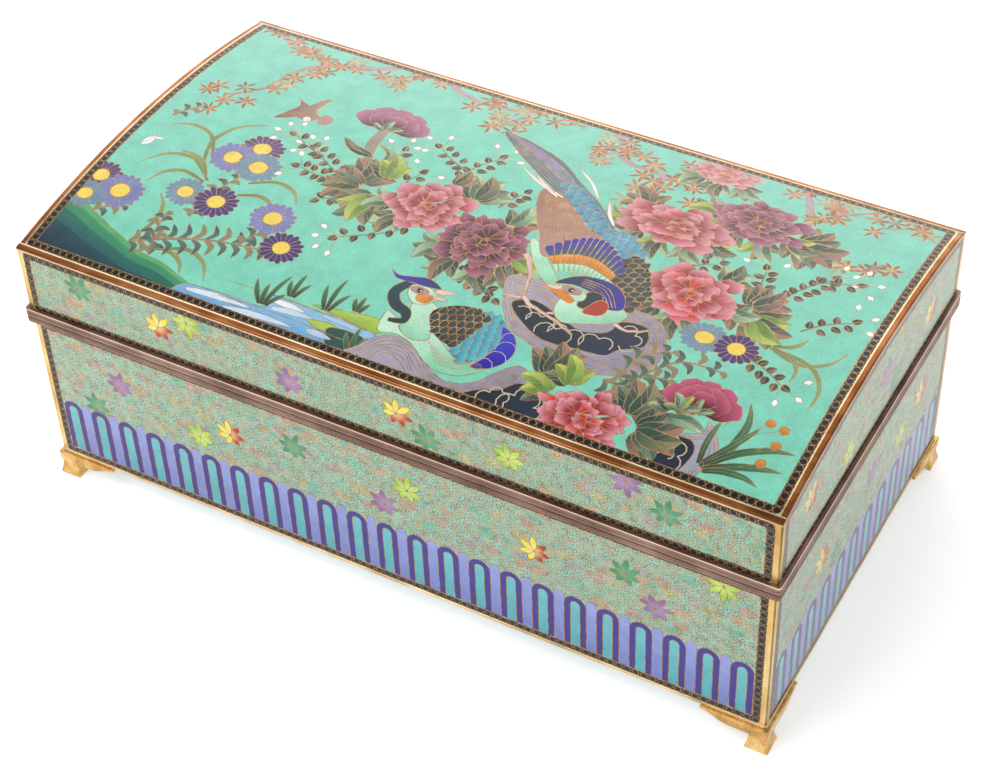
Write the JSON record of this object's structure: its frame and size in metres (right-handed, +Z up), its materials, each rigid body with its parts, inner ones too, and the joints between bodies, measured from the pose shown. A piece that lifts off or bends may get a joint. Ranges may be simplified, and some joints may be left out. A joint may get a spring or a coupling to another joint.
{
  "type": "cloisonne enamel box",
  "caption": "Rectangular cloisonne enamel box with a loose domed lid, a bird and flower picture on top, maple scroll sides and brass bracket feet.",
  "frame": {"origin": "middle of the footprint, on the surface that the four feet stand on", "axes": "+Z up, +X along the box towards its right end, and the front faces -Y"},
  "size_m": [0.2924, 0.1586, 0.1182],
  "materials": {
    "picture_enamel": "gloss",
    "scroll_enamel": "gloss",
    "lining_enamel": "gloss",
    "gilt_copper": "satin",
    "post_brass": "satin",
    "rim_copper": "satin",
    "foot_brass": "gloss"
  },
  "bodies": {
    "root": {"body_base_band": "post_brass", "body_floor": "lining_enamel", "body_rim": "rim_copper", "lid_rim": "rim_copper", "lid_top_panel": "picture_enamel", "body_front_panel": "scroll_enamel", "body_back_panel": "scroll_enamel", "body_left_panel": "scroll_enamel", "body_right_panel": "scroll_enamel", "lid_front_panel": "scroll_enamel", "lid_back_panel": "scroll_enamel", "lid_left_panel": "scroll_enamel", "lid_right_panel": "scroll_enamel", "lid_front_edging": "gilt_copper", "lid_back_edging": "gilt_copper", "lid_left_edging": "gilt_copper", "lid_right_edging": "gilt_copper", "body_post_front_left": "post_brass", "body_post_front_right": "post_brass", "body_post_back_left": "post_brass", "body_post_back_right": "post_brass", "lid_post_front_left": "post_brass", "lid_post_front_right": "post_brass", "lid_post_back_left": "post_brass", "lid_post_back_right": "post_brass", "foot_front_left": "foot_brass", "foot_front_right": "foot_brass", "foot_back_left": "foot_brass", "foot_back_right": "foot_brass"}
  },
  "joints": []
}
